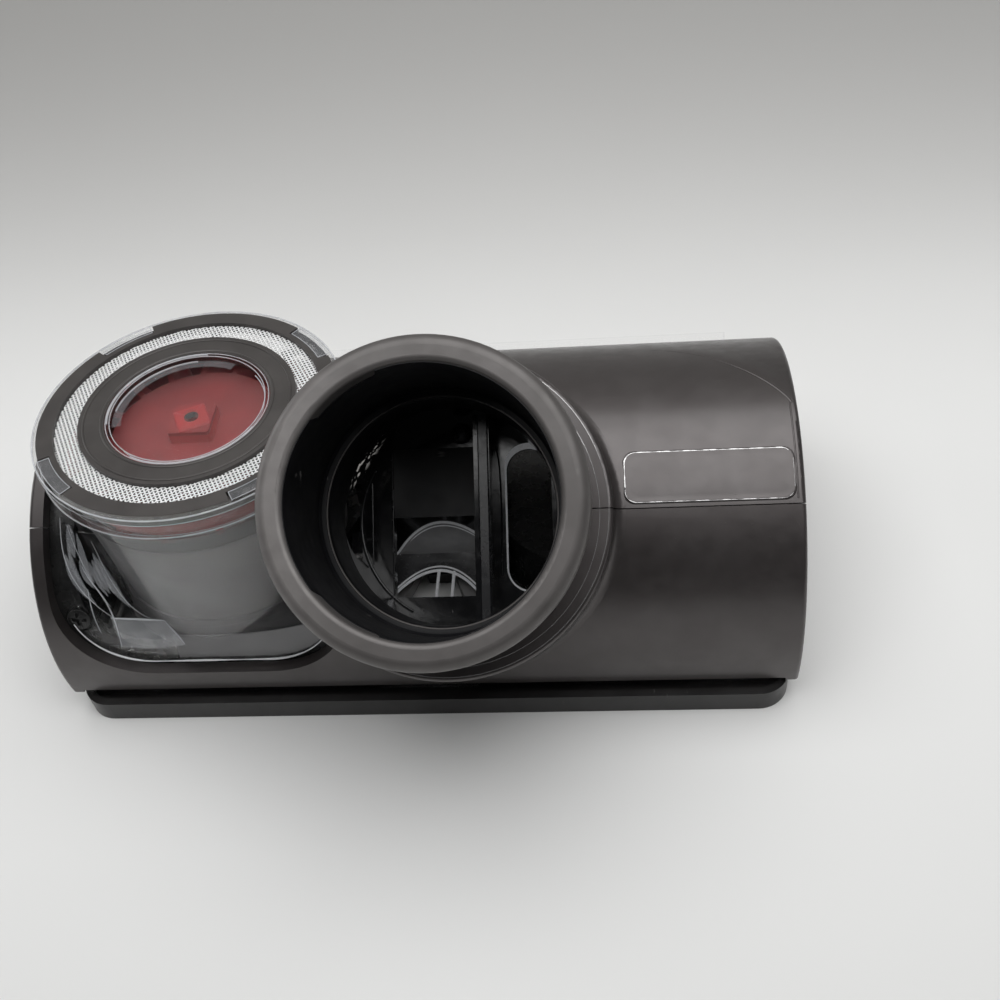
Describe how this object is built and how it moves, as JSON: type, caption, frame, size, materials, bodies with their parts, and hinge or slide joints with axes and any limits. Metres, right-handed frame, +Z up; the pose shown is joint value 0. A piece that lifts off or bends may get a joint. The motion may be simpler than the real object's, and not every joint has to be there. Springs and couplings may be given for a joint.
{
  "type": "vacuum turbine brush head",
  "caption": "Drum-shaped vacuum head with a swivel neck, a clear air turbine with a meshed inlet, and a gear train that turns brush discs under an open sole.",
  "frame": {"origin": "on the floor face of the sole plate, under the drum axis, midway along the drum", "axes": "+X along the drum to the right seen from the neck side, -Y towards the neck, +Z up"},
  "size_m": [0.1164, 0.0824, 0.066],
  "materials": {
    "shell_grey": "satin gloss moulded plastic",
    "neck_grey": "satin moulded plastic, lightly scuffed",
    "black_plastic": "black moulded plastic",
    "clear_plastic": "clear polycarbonate",
    "ring_grey": "dark satin plastic",
    "mesh_white": "fine woven mesh",
    "shroud_grey": "pale grey plastic",
    "rotor_red": "red moulded plastic",
    "steel": "bright steel",
    "brass": "turned brass",
    "gear_cream": "acetal plastic",
    "disc_grey": "moulded plastic",
    "bristle_black": "nylon bristle",
    "seal_rubber": "soft seal"
  },
  "bodies": {
    "head": {"rear_shell": "shell_grey", "top_shell": "shell_grey", "sole_plate": "black_plastic", "suction_duct": "black_plastic", "gear_case": "black_plastic", "gear_case_cover": "black_plastic", "turbine_cradle": "black_plastic", "brush_chamber": "clear_plastic", "front_visor": "clear_plastic", "turbine_housing": "clear_plastic", "window_lens": "clear_plastic", "inlet_ring": "ring_grey", "inlet_mesh": "mesh_white", "turbine_shroud": "shroud_grey", "reduction_pin": "steel", "left_idler_pin": "steel", "right_idler_pin": "steel", "cradle_screws": "steel", "upper_bearing": "steel", "lower_bearing": "steel", "left_disc_bush": "brass", "right_disc_bush": "brass", "neck_seal": "seal_rubber"},
    "neck": {"neck_tube": "neck_grey"},
    "turbine": {"turbine_rotor": "rotor_red", "turbine_shaft": "steel", "turbine_pinion": "brass"},
    "reduction": {"reduction_gear": "gear_cream"},
    "coin_lock": {"coin_lock": "disc_grey"},
    "left_disc": {"left_disc_gear": "gear_cream", "left_brush_disc": "disc_grey", "left_bristles": "bristle_black", "left_disc_screw": "steel"},
    "left_idler": {"left_idler_gear": "gear_cream"},
    "right_disc": {"right_disc_gear": "gear_cream", "right_brush_disc": "disc_grey", "right_bristles": "bristle_black", "right_disc_screw": "steel"},
    "right_idler": {"right_idler_gear": "gear_cream"}
  },
  "joints": [
    {"name": "left_disc_spin", "type": "hinge", "parent": "head", "child": "left_disc", "pos_m": [-0.0275, 0, 0], "axis": [0, 0, 1], "continuous": true},
    {"name": "right_disc_spin", "type": "hinge", "parent": "head", "child": "right_disc", "pos_m": [0.0275, 0, 0], "axis": [0, 0, 1], "continuous": true},
    {"name": "left_idler_spin", "type": "hinge", "parent": "head", "child": "left_idler", "pos_m": [-0.0072, 0.00739, 0], "axis": [0, 0, 1], "continuous": true},
    {"name": "right_idler_spin", "type": "hinge", "parent": "head", "child": "right_idler", "pos_m": [0.0072, 0.00739, 0], "axis": [0, 0, 1], "continuous": true},
    {"name": "reduction_spin", "type": "hinge", "parent": "head", "child": "reduction", "pos_m": [-0.04377, -0.00771, 0], "axis": [0, 0, 1], "continuous": true},
    {"name": "turbine_spin", "type": "hinge", "parent": "head", "child": "turbine", "pos_m": [-0.0322, -0.0068, 0], "axis": [0, 0, 1], "continuous": true},
    {"name": "neck_swivel", "type": "hinge", "parent": "head", "child": "neck", "pos_m": [0.0065, -0.01888, 0.03331], "axis": [0, -0.6293, 0.7771], "range_deg": [-40, 40]},
    {"name": "coin_lock_turn", "type": "hinge", "parent": "head", "child": "coin_lock", "pos_m": [0, 0.02089, 0], "axis": [0, 0, 1], "range_deg": [0, 90]}
  ],
  "couplings": [
    {"joint": "right_disc_spin", "follows": "left_disc_spin", "ratio": -1},
    {"joint": "left_idler_spin", "follows": "left_disc_spin", "ratio": -2},
    {"joint": "right_idler_spin", "follows": "left_disc_spin", "ratio": 2},
    {"joint": "reduction_spin", "follows": "left_disc_spin", "ratio": -4},
    {"joint": "turbine_spin", "follows": "left_disc_spin", "ratio": 8.8889}
  ]
}
